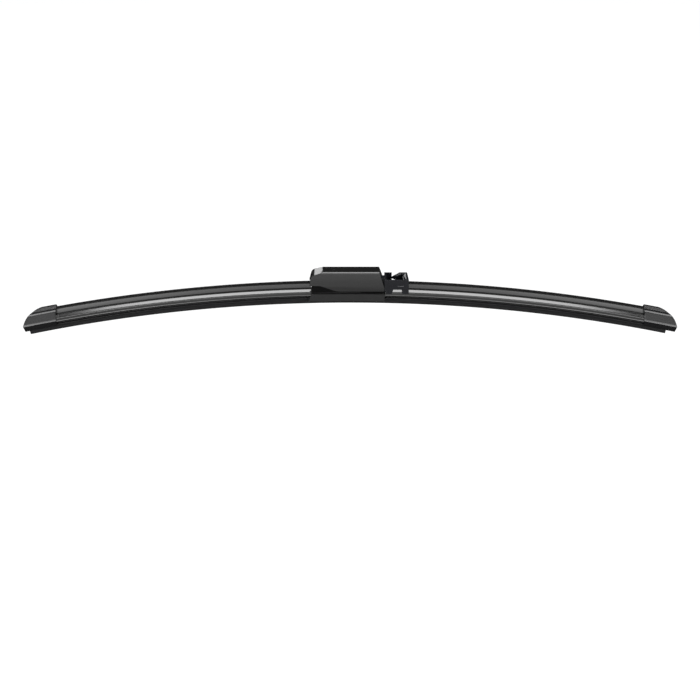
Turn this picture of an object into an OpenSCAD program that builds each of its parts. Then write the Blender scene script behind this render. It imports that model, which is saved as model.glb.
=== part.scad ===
// Flat wiper blade: two spring strips and an arched rubber under a two-part
// spoiler, with moulded end caps and a rocking arm connector in the middle.
// X runs along the blade, Y across it, Z up and away from the glass. The
// origin is the middle of the rocker pin, which is where the arm holds it.
// Heights in this file are measured up from the wiping edge at mid-blade.

/* [Blade] */
// Length along the arch, from cap tip to cap tip
blade_len = 600; // [480:10:700]
// Radius of the arch at the wiping edge, with the blade off the glass
arch_r = 1371; // [1200:1:1800]
// Gap between pieces that are slid or snapped together
seat_gap = 0.1; // [0.05:0.01:0.15]

/* [Wiping rubber] */
// Thickness of the wiping edge
edge_t = 0.8; // [0.6:0.1:1.2]
// Thickness of the lip where it meets the body
lip_root_t = 1.5; // [1.3:0.1:2]
// Height of the lip
lip_h = 3.4; // [2.8:0.1:3.8]
// Width of the body across its shoulders
body_w = 5.2; // [4.4:0.1:5.6]
// Thickness of the neck that lets the lip flip over
neck_t = 1.3; // [1:0.1:1.6]
// Width of the head that sits between the claws
head_w = 6; // [5.6:0.1:6.4]
// Thickness of the web between the two spring strips
web_t = 3.2; // [2.8:0.1:3.6]
// Distance from the left cap's tip to the end of the rubber
rubber_short_left = 3.4; // [3.4:0.1:12]
// Distance from the right cap's tip to the end of the rubber
rubber_short_right = 7.6; // [3.4:0.1:12]

/* [Spring strips] */
// Height of the strips' middle above the wiping edge
strip_h = 10.3; // [10.2:0.05:10.6]
// Thickness of a strip
strip_t = 0.9; // [0.8:0.05:1]
// Width of a strip
strip_w = 3.9; // [3.6:0.1:4.1]
// Distance from a cap's tip to the end of the strips
strip_short = 4.2; // [3.5:0.1:6]

/* [Spoiler] */
// Height of the spoiler's tip above the wiping edge
spoiler_h = 22.1; // [21.4:0.1:22.2]
// Height of the claws' outer sides
claw_side_h = 4.1; // [3.6:0.1:4.4]
// How much the claws' outer sides lean in above their bead
claw_lean = 0.35; // [0.2:0.05:0.4]
// Thickness of a claw beside the strip
claw_t = 0.7; // [0.6:0.05:0.9]
// Thickness of a claw under the strip
claw_foot_t = 0.65; // [0.55:0.05:0.75]
// How far a claw reaches in under the strip
claw_reach = 0.8; // [0.6:0.1:1.2]
// Height of the shoulders where the fin rises
shoulder_h = 15; // [14.6:0.1:15.4]
// Width across the shoulders
shoulder_w = 6.6; // [6.2:0.1:7]
// Width of the neck in the grooves below the fin
fin_neck_w = 4; // [3.6:0.1:4.2]
// Width of the fin at its root, over the grooves
fin_root_w = 4.8; // [4.5:0.1:5]
// Width of the fin below the bevels at its tip
fin_side_w = 3.2; // [2.8:0.1:3.4]
// Height of the bevels at the fin's tip
fin_bevel_h = 2.3; // [1.8:0.1:2.4]
// Width of the fin's tip
fin_tip_w = 0.8; // [0.6:0.1:1]

/* [End caps] */
// Length of a cap along the arch
cap_len = 31; // [27:0.2:36]
// Width across the lower rims of a cap
cap_w = 16.1; // [15.9:0.1:16.8]
// Width across the upper rims of a cap
cap_top_w = 13.5; // [13.1:0.1:13.9]
// Height of the lower rim above the wiping edge
cap_rim_h = 11.2; // [10.9:0.1:11.5]
// Height of the upper rim above the wiping edge
cap_face_h = 21.2; // [21:0.1:21.4]
// Height of the ridge above the wiping edge
cap_h = 23.8; // [23.7:0.1:24.4]
// Width of the ridge at its foot
ridge_w = 4; // [3.8:0.1:4.6]
// Height of the cap's lower edge above the wiping edge
cap_skirt_h = 5.3; // [4.9:0.1:5.7]
// Radius of the nose seen from the side
nose_r = 26.5; // [26:0.1:28]
// How far the spoiler's end reaches into a cap
spoiler_in_cap = 8; // [5:0.5:10]
// Depth of the panel let into a cap's sides
panel_depth = 0.35; // [0.2:0.05:0.4]
// Width of the border round the panel
panel_border = 1.3; // [1:0.1:2]

/* [Connector base] */
// From the pin to the base's left end
base_left = 37.5; // [36.5:0.1:38.5]
// From the pin to the base's right end
base_right = 31.2; // [30:0.1:31.2]
// Width of the base
base_w = 17; // [16.6:0.1:17.2]
// Height of the base's top above the wiping edge
base_h = 12.7; // [12.5:0.05:12.8]
// Height of the base's lower edge above the wiping edge
base_low_h = 4.8; // [4.4:0.1:5.4]
// How much the base's left end leans back
base_lean = 2.8; // [1:0.1:3]
// Thickness of the ears that hold the pin
ear_t = 2.2; // [1.8:0.1:2.4]
// Radius of the ears round the pin
ear_r = 5.2; // [4.8:0.1:5.4]
// How far the ears' low walls run from the pin to the left
cheek_len = 34; // [30:0.5:34]

/* [Rocker] */
// Radius of the pin
pin_r = 2.5; // [2:0.1:2.8]
// Height of the pin above the wiping edge
pin_h = 18.5; // [18.2:0.1:19]
// Running clearance round the pin
pin_play = 0.05; // [0.03:0.01:0.09]
// Gap between the rocker's hub and the ears
side_play = 0.3; // [0.25:0.05:0.5]
// Width of the rocker's hub
hub_w = 7.8; // [7:0.1:8]
// Radius of the hub round the pin
hub_r = 4.8; // [4.4:0.1:5]

/* [Arm box] */
// From the pin to the near end of the box
box_start = 31; // [30.9:0.1:31.6]
// From the pin to the far end of the box
box_end = 53; // [51:0.5:56]
// Width of the box
box_w = 18.4; // [18:0.1:19]
// Height of the box's rim above the spoiler's tip
box_rise = 3.9; // [3.6:0.1:4.2]
// Height of the box's feet above the wiping edge
box_foot_h = 12.3; // [12.1:0.1:12.8]
// Thickness of the box's walls
box_wall = 1.5; // [1.3:0.1:1.7]
// Thickness of the box's end block
box_block = 5.2; // [4.6:0.1:5.6]

/* [Cover] */
// From the pin to the cover's rounded end
cover_left = 36.9; // [36.4:0.1:37.4]
// From the pin to the cover's square end
cover_right = 30.8; // [30:0.1:30.8]
// Width across the cover's lower edges
cover_w = 20; // [19.8:0.1:21]
// Width of the cover's flat top
cover_top_w = 13; // [12:0.1:14]
// Height of the cover's top above the wiping edge
cover_h = 32.7; // [32.2:0.1:33.4]
// Height of the cover's lower edge above the wiping edge
cover_low_h = 14.8; // [14.8:0.1:15.4]
// Height of the raised lower edge at the rounded end
cover_lift_h = 20.3; // [20.1:0.1:20.8]
// Wall thickness of the cover
cover_wall = 1.2; // [1:0.1:1.3]
// Radius of the rounded end's upper corner seen from the side
cover_corner_r = 5.5; // [4.5:0.1:6]
// Slope of the flat facet between the top and that corner
cover_facet_tilt = 16; // [12:0.5:18]
// How much the rounded end's side leans back
cover_side_lean = 14; // [10:0.5:16]
// How far the square end leans back towards the top
cover_end_back = 4.6; // [3.5:0.1:5]

/* [Hidden] */

// Facets of a full turn of the arch and of the small round forms
arch_fn = 256;
round_fn = 72;
// Anything longer than a piece that a cut has to pass through
past = 1;

// Heights of the strips' faces and of the rubber's steps
strip_low = strip_h - strip_t / 2;
strip_top = strip_h + strip_t / 2;
shoulder_low = lip_h + 1.2;
shoulder_top = shoulder_low + 1;
body_top = shoulder_top + 0.6;
head_low = strip_low - seat_gap - 1.4;
head_top = strip_top + seat_gap + 0.9;
head_top_w = head_w - 0.8;

// Half widths of the strips and of the claws round them
strip_in = web_t / 2 + seat_gap;
strip_out = strip_in + strip_w;
slot_out = strip_out + seat_gap;
claw_out = slot_out + claw_t;
claw_in = strip_out - claw_reach;
claw_low = strip_low - seat_gap - claw_foot_t;
claw_top = claw_low + claw_side_h;

// Bead along the foot of a claw's outer side, and the groove under the fin
bead_bevel = 0.2;
bead_h = 1;
bead_out = 0.15;
bead_step = 0.4;
groove_h = 1.4;

// Places along the arch of what ends there
cap_tip = blade_len / 2;
cap_in = cap_tip - cap_len;
strip_end = cap_tip - strip_short;
spoiler_out = cap_in + spoiler_in_cap;
end_gap = 0.4;
spoiler_left_in = base_left - 1.1;
spoiler_right_in = base_right + end_gap;

// Height of the box's rim, tied to the spoiler that rocks under it
box_h = spoiler_h + box_rise;

// Height over which the cover's square end leans
cover_end_drop = 0.78 * (cover_h - cover_low_h);

// How far the base and the spoiler rise as the blade rocks, and the gap left
rock_room = 3;
rock_lift = 1.8;
rock_gap = 0.6;

// Angle round the arch's centre of a place along the strips
function at(s) = s / (arch_r + strip_h) * 180 / PI;

// Both halves of an outline that is the same on each side of the middle
function both_sides(half) = concat(
    half,
    [for (i = [len(half) - 1:-1:0]) [-half[i][0], half[i][1]]]
);

// Sets heights above the wiping edge into the part's own frame
module framed() {
    translate([0, 0, -pin_h])
        children();
}

// Sweeps a cross-section, drawn as Y across and height up, along the arch
module arched(from, to) {
    translate([0, 0, -arch_r])
        rotate([90, 0, 0])
            rotate_extrude(start = 90 - at(to), angle = at(to) - at(from), $fn = arch_fn)
                translate([arch_r, 0])
                    rotate(-90)
                        children();
}

// Puts what is drawn at mid-blade at another place along the arch
module at_place(s) {
    translate([0, 0, -arch_r])
        rotate([0, at(s), 0])
            translate([0, 0, arch_r])
                children();
}

// Runs a side view, drawn as X along and height up, across the blade
module across(width) {
    rotate([90, 0, 0])
        linear_extrude(height = width, center = true)
            children();
}

// Runs a cross-section, drawn as Y across and height up, straight along X
module along(from, to) {
    translate([from, 0, 0])
        rotate([90, 0, 90])
            linear_extrude(height = to - from)
                children();
}

// A round bar across the blade at the pin
module round_across(r, width) {
    translate([0, 0, pin_h])
        rotate([90, 0, 0])
            cylinder(r = r, h = width, center = true, $fn = round_fn);
}

module rubber_section() {
    polygon(both_sides([
        [edge_t / 2, 0],
        [lip_root_t / 2, lip_h],
        [body_w / 2 - 0.2, shoulder_low],
        [body_w / 2, shoulder_top],
        [body_w / 2 - 0.7, body_top],
        [neck_t / 2, body_top + 0.2],
        [neck_t / 2, head_low - 0.2],
        [head_w / 2, head_low],
        [head_w / 2, strip_low - seat_gap],
        [web_t / 2, strip_low - seat_gap],
        [web_t / 2, strip_top + seat_gap],
        [head_top_w / 2, strip_top + seat_gap],
        [head_top_w / 2 - 0.4, head_top]
    ]));
}

module wiper_rubber() {
    color([0.09, 0.09, 0.09])
        framed()
            arched(-cap_tip + rubber_short_left, cap_tip - rubber_short_right)
                rubber_section();
}

module spring_strip(side) {
    color([0.16, 0.16, 0.17])
        framed()
            arched(-strip_end, strip_end)
                translate([side * (strip_in + strip_w / 2), strip_h])
                    square([strip_w, strip_t], center = true);
}

// One half of the spoiler's outline without the groove under the fin, grown by
// a clearance and lifted
function spoiler_half(grow, lift) = [
    [claw_out - bead_bevel + grow, claw_low - grow + lift],
    [claw_out + grow, claw_low + bead_h + lift],
    [claw_out - bead_out + grow, claw_low + bead_h + bead_step + grow / 2 + lift],
    [claw_out - claw_lean + grow, claw_top + grow / 2 + lift],
    [shoulder_w / 2 + grow, shoulder_h + grow + lift],
    [fin_root_w / 2 + grow, shoulder_h + groove_h + grow + lift],
    [fin_side_w / 2 + grow, spoiler_h - fin_bevel_h + grow / 2 + lift],
    [fin_tip_w / 2 + grow, spoiler_h + grow + lift]
];

// The same half outline with the groove
function spoiler_side() = let (half = spoiler_half(0, 0)) concat(
    [for (i = [0:4]) half[i]],
    [[fin_neck_w / 2, shoulder_h + 0.1]],
    [for (i = [5:7]) half[i]]
);

// Channel inside the spoiler: it grips the strips and clears the rubber's head
function channel_half() = [
    [claw_in, claw_low - past],
    [claw_in, strip_low - seat_gap],
    [slot_out, strip_low - seat_gap],
    [slot_out, strip_top + seat_gap],
    [slot_out - 0.7, strip_top + seat_gap],
    [slot_out - 0.7, claw_top - 0.8],
    [shoulder_w / 2 - 0.9, shoulder_h - 1.2],
    [fin_neck_w / 2 - 1, shoulder_h + 0.1],
    [fin_neck_w / 2 - 1.2, shoulder_h + 1.6],
    [0.3, spoiler_h - 3.3]
];

module spoiler_section() {
    difference() {
        polygon(both_sides(spoiler_side()));
        polygon(both_sides(channel_half()));
    }
}

module spoiler_left() {
    color([0.13, 0.13, 0.13])
        framed()
            arched(-spoiler_out, -spoiler_left_in)
                spoiler_section();
}

module spoiler_right() {
    color([0.13, 0.13, 0.13])
        framed()
            arched(spoiler_right_in, spoiler_out)
                spoiler_section();
}

// Steps in from a cap's rims to its side faces and up to the grooves
rim_in = 0.45;
rim_step = 1.2;
face_low_h = cap_rim_h + rim_step;
face_top_h = cap_face_h - 1.4;
face_low_half = cap_w / 2 - rim_in;
face_top_half = cap_top_w / 2 - 0.15;

module cap_section() {
    polygon(both_sides([
        [cap_w / 2 - 2.85, cap_skirt_h],
        [cap_w / 2 - 0.95, cap_rim_h - 1.6],
        [cap_w / 2 - 0.75, cap_rim_h - 0.3],
        [cap_w / 2, cap_rim_h],
        [face_low_half, face_low_h],
        [face_top_half, face_top_h],
        [cap_top_w / 2, face_top_h + 0.2],
        [cap_top_w / 2 - rim_in, cap_face_h],
        [cap_top_w / 2 - 0.7, cap_face_h - 0.3],
        [ridge_w / 2, cap_face_h - 0.1],
        [ridge_w / 2 - 0.07, cap_face_h + 0.1],
        [ridge_w / 2 - 0.76, cap_h - 0.04],
        [ridge_w / 2 - 1.4, cap_h]
    ]));
}

// Side of a cap, from which the panel's depth is measured
function face_y(h) =
    face_low_half - (face_low_half - face_top_half) * (h - face_low_h) / (face_top_h - face_low_h);

// Where the nose's circle has its middle, from the cap's inner end
nose_x = cap_len - 24;
nose_z = cap_rim_h - 11.9;
// The nose falls away to the back by this angle
nose_fall = 20;
// The lower end of the nose leans back
nose_low_lean = 0.6;

// Side outline of the nose, drawn in a border's width from its edge
module nose_shape(border) {
    reach = 40;
    front = -cap_w / 2;
    back_x = -5;
    low = -10;
    translate([0, front, 0])
        rotate([-nose_fall, 0, 0])
            translate([0, -front, 0])
                across(reach)
                    intersection() {
                        union() {
                            translate([nose_x, nose_z])
                                circle(r = nose_r - border, $fn = round_fn * 2);
                            translate([back_x, low])
                                square([nose_x - back_x, nose_z + nose_r - border - low]);
                        }
                        polygon([
                            [back_x + past / 2, low - past],
                            [cap_len - nose_low_lean - 1.2 - border, low - past],
                            [cap_len - nose_low_lean - border, cap_skirt_h],
                            [cap_len - border, cap_rim_h - 0.5],
                            [cap_len - border, 2 * cap_h],
                            [back_x + past / 2, 2 * cap_h]
                        ]);
                    }
}

// The cap's inner end is upright, and crosses the lower rim here
cap_x = (arch_r + cap_rim_h) * sin(at(cap_in));
cap_from = cap_in - 4;

// All that lies farther out along X than this
module beyond(x) {
    translate([x, -cap_w, -blade_len / 2])
        cube([cap_len + 4 * past, 2 * cap_w, blade_len]);
}

// Thin wedge of the cap's side that the panel takes away
module panel_section(side) {
    low = face_low_h + 0.7;
    high = face_top_h - 0.7;
    polygon([
        [side * (face_y(low) - panel_depth), low],
        [side * (face_y(low) + past), low],
        [side * (face_y(high) + past), high],
        [side * (face_y(high) - panel_depth), high]
    ]);
}

// Rooms in the cap for the spoiler's end, the strips and the rubber
module cap_rooms() {
    gap = 2 * seat_gap;
    rubber_end = cap_tip - min(rubber_short_left, rubber_short_right);
    arched(cap_from, spoiler_out + end_gap)
        polygon(both_sides(spoiler_half(gap, 0)));
    arched(cap_from, strip_end + end_gap)
        translate([0, strip_h])
            square([2 * slot_out, strip_t + 2 * gap], center = true);
    arched(cap_from, rubber_end + end_gap)
        translate([-head_w / 2 - gap, 0])
            square([head_w + 2 * gap, head_top + gap]);
}

module cap_shell() {
    difference() {
        intersection() {
            arched(cap_from, cap_tip + past)
                cap_section();
            at_place(cap_in)
                nose_shape(0);
            beyond(cap_x);
        }
        for (side = [-1, 1])
            intersection() {
                arched(cap_from, cap_tip + past)
                    panel_section(side);
                at_place(cap_in)
                    nose_shape(panel_border);
                beyond(cap_x + panel_border);
            }
        cap_rooms();
    }
}

module end_cap_right() {
    color([0.2, 0.2, 0.2])
        framed()
            cap_shell();
}

module end_cap_left() {
    color([0.2, 0.2, 0.2])
        framed()
            mirror([1, 0, 0])
                cap_shell();
}

// Inner and outer faces of the ears, from the middle
ear_in = hub_w / 2 + side_play;
ear_out = ear_in + ear_t;

module base_section() {
    gap = 2 * seat_gap;
    difference() {
        polygon(both_sides([
            [base_w / 2 - 0.5, base_low_h],
            [base_w / 2, base_low_h + 0.5],
            [base_w / 2, base_h - 0.7],
            [base_w / 2 - 0.7, base_h]
        ]));
        translate([0, strip_h])
            square([2 * slot_out, strip_t + 2 * seat_gap], center = true);
        translate([-head_w / 2 - gap, 0])
            square([head_w + 2 * gap, head_top + seat_gap]);
    }
}

// Side view of an ear: a foot that narrows up to a round eye, and a low wall
// that runs on to the left under the cover
module ear_shape() {
    foot_half = 10;
    foot_h = base_h - 0.6;
    polygon([
        [-foot_half, foot_h],
        [foot_half, foot_h],
        [ear_r - 0.4, pin_h],
        [-ear_r + 0.4, pin_h]
    ]);
    polygon([
        [-cheek_len, foot_h - 0.1],
        [0, foot_h - 0.1],
        [0, pin_h - 0.3],
        [-cheek_len + 1, pin_h - 0.3]
    ]);
    translate([0, pin_h])
        circle(r = ear_r, $fn = round_fn);
}

module connector_base() {
    color([0.17, 0.17, 0.17])
        framed()
            difference() {
                union() {
                    intersection() {
                        arched(-base_left - past, base_right)
                            base_section();
                        across(2 * base_w)
                            polygon([
                                [-base_left, 0],
                                [-base_left, base_low_h],
                                [-base_left + base_lean, base_h + past],
                                [base_right + past, base_h + past],
                                [base_right + past, 0]
                            ]);
                    }
                    for (side = [-1, 1])
                        translate([0, side * (ear_in + ear_t / 2), 0])
                            across(ear_t)
                                ear_shape();
                }
                round_across(pin_r + seat_gap / 5, 2 * ear_out + past);
            }
}

// Rivet with a flat head on each side of the ears
module rocker_pin() {
    head_r = pin_r + 0.9;
    head_t = 0.8;
    half = ear_out + 0.05;
    color([0.6, 0.6, 0.62])
        rotate([90, 0, 0])
            rotate_extrude($fn = round_fn)
                polygon([
                    [0, -half - head_t],
                    [head_r - 0.3, -half - head_t],
                    [head_r, -half - head_t + 0.3],
                    [head_r, -half],
                    [pin_r, -half],
                    [pin_r, half],
                    [head_r, half],
                    [head_r, half + head_t - 0.3],
                    [head_r - 0.3, half + head_t],
                    [0, half + head_t]
                ]);
}

// Top, underside and ends of the rocker's spine inside the cover
spine_top = cover_h - cover_wall - seat_gap;
spine_low = pin_h + ear_r + 0.6;
spine_left = cover_left - 13.4;
spine_inset = cover_wall + 0.5;
beam_low = base_h + 2.9;

// Inner places of the arm box, measured from the pin, and its front arch
pocket_from = box_start + box_wall + 0.2;
pocket_to = box_end - box_block;
window_x = box_start + 6.8;
arch_to = pocket_to - 0.4;
arch_h = box_foot_h + 4.3;

// Where the cover's square end is at a height, in a wall's width from it
function cover_end_x(h, inset) =
    cover_right - inset - cover_end_back * max(0, (h - cover_h + inset + cover_end_drop) / cover_end_drop);

// Side view of the rocker under the cover: hub, beam and spine
module rocker_shape() {
    translate([0, pin_h])
        circle(r = hub_r, $fn = round_fn);
    polygon([
        [0, beam_low],
        [box_start + past, beam_low],
        [box_start + past, box_h - 0.6],
        [cover_end_x(box_h - 0.6, spine_inset), box_h - 0.6],
        [cover_end_x(spine_top, spine_inset), spine_top],
        [-spine_left, spine_top],
        [-spine_left - 3, spine_low + 2.4],
        [-spine_left, spine_low],
        [-hub_r + 0.6, spine_low],
        [-hub_r + 0.6, pin_h],
        [0, pin_h]
    ]);
}

// Wedge-shaped latch between two three-cornered windows in the back wall
module back_windows() {
    translate([0, box_w / 2 - box_wall / 2, 0])
        across(2 * box_wall) {
            polygon([
                [window_x, box_h + past],
                [window_x, box_h - 4.1],
                [window_x + 6.8, box_h],
                [window_x + 6.8, box_h + past]
            ]);
            polygon([
                [window_x, box_foot_h - past],
                [arch_to, box_foot_h - past],
                [arch_to, arch_h + 0.4],
                [window_x, arch_h + 2.9]
            ]);
        }
}

module front_arch() {
    translate([0, -box_w / 2 + box_wall / 2, 0])
        across(2 * box_wall)
            polygon([
                [window_x - 0.8, box_foot_h - past],
                [arch_to, box_foot_h - past],
                [arch_to - 0.8, arch_h],
                [window_x + 1.2, arch_h]
            ]);
}

// Box that the arm's head closes round, open above and below; its foot next
// to the base is cut away so that the base can rise beside it
module arm_box() {
    foot_in = 1.4;
    foot_rise = rock_room - 0.7;
    lead_in = 2.8;
    lead_in_h = 1.3;
    end_lean = 1.2;
    difference() {
        translate([0, 0, box_foot_h])
            linear_extrude(height = box_h - box_foot_h)
                polygon([
                    [box_start, -box_w / 2],
                    [box_end - 0.5, -box_w / 2],
                    [box_end, -box_w / 2 + 0.5],
                    [box_end - end_lean, box_w / 2 - 0.5],
                    [box_end - end_lean - 0.5, box_w / 2],
                    [box_start, box_w / 2]
                ]);
        translate([pocket_from, -box_w / 2 + box_wall, box_foot_h - past])
            cube([pocket_to - pocket_from, box_w - 2 * box_wall, box_h - box_foot_h + 2 * past]);
        along(box_start - past, box_end + past)
            polygon(both_sides(spoiler_half(rock_gap, rock_lift)));
        along(box_start - past, box_end + past)
            translate([-claw_out - rock_gap, box_foot_h - past])
                square([2 * (claw_out + rock_gap), claw_low + rock_room - box_foot_h + past]);
        across(box_w - 2 * box_wall)
            polygon([
                [pocket_to - past, box_h - lead_in_h * (1 + past / lead_in)],
                [pocket_to + lead_in, box_h],
                [pocket_to + lead_in, box_h + past],
                [pocket_to - past, box_h + past]
            ]);
        translate([box_start - past, -box_w, box_foot_h - past])
            cube([past + foot_in, 2 * box_w, base_h + foot_rise - box_foot_h + past]);
        back_windows();
        front_arch();
    }
}

// Small ledge on the front of the box
module box_ledge() {
    ledge_from = box_start + 11.6;
    ledge_len = 6;
    ledge_t = 0.5;
    ledge_out = 0.35;
    translate([ledge_from, -box_w / 2 - ledge_out, box_h - 6.2])
        cube([ledge_len, ledge_out + ledge_t / 2, ledge_t]);
}

// Small slanted slot beside the ledge
module box_slot() {
    slot_from = box_start + 3.5;
    slot_len = 4;
    slot_t = 0.5;
    slot_slope = 13;
    translate([slot_from, -box_w / 2 - past, box_h - 7.2])
        rotate([0, -slot_slope, 0])
            cube([slot_len, past + 0.5, slot_t]);
}

module arm_adapter() {
    mouth_w = 3.4;
    color([0.18, 0.18, 0.2])
        framed()
            difference() {
                union() {
                    across(hub_w)
                        rocker_shape();
                    arm_box();
                    box_ledge();
                }
                box_slot();
                round_across(pin_r + pin_play, hub_w + past);
                translate([-mouth_w / 2, -hub_w, pin_h - hub_r - past])
                    cube([mouth_w, 2 * hub_w, hub_r + past]);
                along(spoiler_right_in - rock_gap, pocket_from)
                    polygon(both_sides(spoiler_half(rock_gap, rock_lift)));
            }
}

// Outside or inside of the cover across the blade
module cover_section(inset) {
    top = cover_h - inset;
    half_low = cover_w / 2 - inset;
    half_top = cover_top_w / 2 - inset;
    polygon(both_sides([
        [half_low, cover_low_h - past],
        [half_low, cover_low_h + 1],
        [half_low - 0.3, cover_low_h + 5],
        [half_low - 0.95, cover_low_h + 10],
        [half_top + 1.1, top - 1.6],
        [half_top + 0.7, top - 0.6],
        [half_top, top]
    ]));
}

// Where the facet starts on the top, and where the lower edge starts to rise
facet_x = -cover_left + 12.7;
lift_to_x = -cover_left + 9.9;
lift_from_x = -9;

// Directions that the rounded end's side and facet look in
side_dir = 180 - cover_side_lean;
facet_dir = 90 + cover_facet_tilt;

// Side view of the cover, in a wall's width from its ends and top
module cover_outline(inset) {
    top = cover_h - inset;
    low = cover_low_h - 2 * inset;
    lift = cover_lift_h - 2 * inset;
    corner_r = cover_corner_r - inset;
    side_at = -cover_left * cos(side_dir) + cover_lift_h * sin(side_dir) - cover_corner_r;
    facet_at = facet_x * cos(facet_dir) + cover_h * sin(facet_dir) - cover_corner_r;
    turn = sin(facet_dir - side_dir);
    corner_x = (side_at * sin(facet_dir) - facet_at * sin(side_dir)) / turn;
    corner_z = (facet_at * cos(side_dir) - side_at * cos(facet_dir)) / turn;
    steps = 8;
    polygon(concat(
        [
            [facet_x + inset * tan(cover_facet_tilt / 2), top],
            [cover_end_x(top, inset), top],
            [cover_end_x(top - cover_end_drop, inset), top - cover_end_drop],
            [cover_right - inset, low],
            [lift_from_x, low],
            [lift_from_x - 5, low + 1],
            [lift_to_x + 3, lift - 1],
            [lift_to_x, lift],
            [(side_at + corner_r - lift * sin(side_dir)) / cos(side_dir), lift]
        ],
        [
            for (i = [0:steps])
                let (a = side_dir + (facet_dir - side_dir) * i / steps)
                    [corner_x + corner_r * cos(a), corner_z + corner_r * sin(a)]
        ]
    ));
}

module adapter_cover() {
    slot_roof = 3;
    slot_top_h = cover_h - cover_wall - slot_roof;
    slot_low_h = cover_lift_h + 0.3 * (slot_top_h - cover_lift_h);
    slot_half = claw_out - 2;
    slot_in = 4.5;
    dimple_r = 0.9;
    dimple_depth = 0.25;
    dimple_in = 21.9;
    dimple_off = 1.8;
    color([0.2, 0.2, 0.2])
        framed()
            difference() {
                intersection() {
                    along(-cover_left - past, cover_right + past)
                        cover_section(0);
                    across(2 * cover_w)
                        cover_outline(0);
                }
                intersection() {
                    along(-cover_left, cover_right)
                        cover_section(cover_wall);
                    across(2 * cover_w)
                        cover_outline(cover_wall);
                }
                along(-cover_left - past, -cover_left + slot_in)
                    polygon(both_sides([
                        [slot_half, cover_lift_h - past],
                        [slot_half, slot_low_h],
                        [slot_half - 1.2, slot_low_h + 1],
                        [slot_half - 2.2, slot_top_h]
                    ]));
                along(cover_right - cover_end_back - past, cover_right + past)
                    translate([-hub_w / 2 - 0.2, cover_low_h - past])
                        square([hub_w + 0.4, box_h - cover_low_h + past]);
                translate([-cover_left + dimple_in, -dimple_off, cover_h - dimple_depth])
                    cylinder(r = dimple_r, h = past, $fn = round_fn);
            }
}

wiper_rubber();
spring_strip(-1);  // spring_strip_front
spring_strip(1);  // spring_strip_rear
spoiler_left();
spoiler_right();
end_cap_left();
end_cap_right();
connector_base();
rocker_pin();
arm_adapter();
adapter_cover();
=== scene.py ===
"""A flat wiper blade off its arm, in its free arch, with the connector at rest.

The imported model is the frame. Each piece made here takes the place of one of its solids, and the
two spring strips are shown as they are there.
"""

import math

import bmesh
import bpy
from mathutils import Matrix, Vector


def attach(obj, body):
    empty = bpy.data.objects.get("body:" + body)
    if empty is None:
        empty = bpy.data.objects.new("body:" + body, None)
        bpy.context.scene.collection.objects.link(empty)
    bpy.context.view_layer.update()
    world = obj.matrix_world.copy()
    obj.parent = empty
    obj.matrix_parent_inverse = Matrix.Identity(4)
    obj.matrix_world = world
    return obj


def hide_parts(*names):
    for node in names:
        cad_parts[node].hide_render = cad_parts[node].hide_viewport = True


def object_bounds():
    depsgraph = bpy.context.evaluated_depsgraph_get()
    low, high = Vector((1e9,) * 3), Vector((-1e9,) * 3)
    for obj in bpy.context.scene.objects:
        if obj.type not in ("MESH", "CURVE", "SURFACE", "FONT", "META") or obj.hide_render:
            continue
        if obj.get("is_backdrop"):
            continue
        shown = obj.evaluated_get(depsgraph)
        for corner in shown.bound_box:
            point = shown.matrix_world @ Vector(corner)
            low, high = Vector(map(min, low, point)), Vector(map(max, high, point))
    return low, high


bl_info = {
    "name": "Flat Wiper Blade",
    "version": (1, 0, 0),
    "blender": (4, 5, 0),
    "location": "View3D > Sidebar > Wiper Blade",
    "description": "Dresses a flat wiper blade and its rocking arm connector",
    "category": "Object",
}

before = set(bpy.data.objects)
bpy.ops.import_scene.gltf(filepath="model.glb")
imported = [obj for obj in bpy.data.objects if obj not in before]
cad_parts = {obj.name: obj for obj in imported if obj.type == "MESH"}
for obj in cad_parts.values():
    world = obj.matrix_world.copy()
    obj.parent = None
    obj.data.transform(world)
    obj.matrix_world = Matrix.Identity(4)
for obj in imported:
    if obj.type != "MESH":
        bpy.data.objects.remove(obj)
cad_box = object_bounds()

BLADE = "blade"
ROCKER = "rocker"


def mm(value):
    """Millimetres in the scene's metres."""
    return value / 1000.0


def linear(code):
    """Linear RGBA of an sRGB colour written as a hex number."""
    channels = [((code >> shift) & 255) / 255.0 for shift in (16, 8, 0)]
    return tuple(
        c / 12.92 if c <= 0.04045 else ((c + 0.055) / 1.055) ** 2.4 for c in channels
    ) + (1.0,)


def length(name, default, about, least=0.0):
    """A property for a length, whose default and least value are given in millimetres."""
    return bpy.props.FloatProperty(
        name=name, description=about, default=mm(default), min=mm(least), precision=5, unit="LENGTH"
    )


def colour(name, code, about):
    """A property for a colour, whose default is an sRGB hex number."""
    return bpy.props.FloatVectorProperty(
        name=name, description=about, default=linear(code), size=4, min=0.0, max=1.0,
        subtype="COLOR",
    )


def brightness(name, default, about):
    """A property for how strongly a part of the studio shines."""
    return bpy.props.FloatProperty(name=name, description=about, default=default, min=0.0)


# The least turn of an outer edge that is rounded, and of an edge that a swept piece keeps sharp.
ROUNDED_FROM = math.radians(28)
SWEPT_CREASE = math.radians(40)
# How near two points are the same: in a solid's loose triangles, after a sweep and after a rounding.
SAME_IN_SOLID = mm(0.002)
SAME_IN_SWEEP = mm(0.001)
SAME_IN_ROUNDING = mm(0.004)
# Triangles of a solid that turn less than this lie in one flat face.
FLAT_WITHIN = math.radians(0.6)
# How far large faces count over the slim ones of a rounding: 50 is even and 100 the most.
LARGE_FACE_WEIGHT = 90
# Straight pieces in a rounded edge.
ROUNDING_SEGMENTS = 3
# Fewest segments of a swept piece.
LEAST_STEPS = 12


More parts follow.
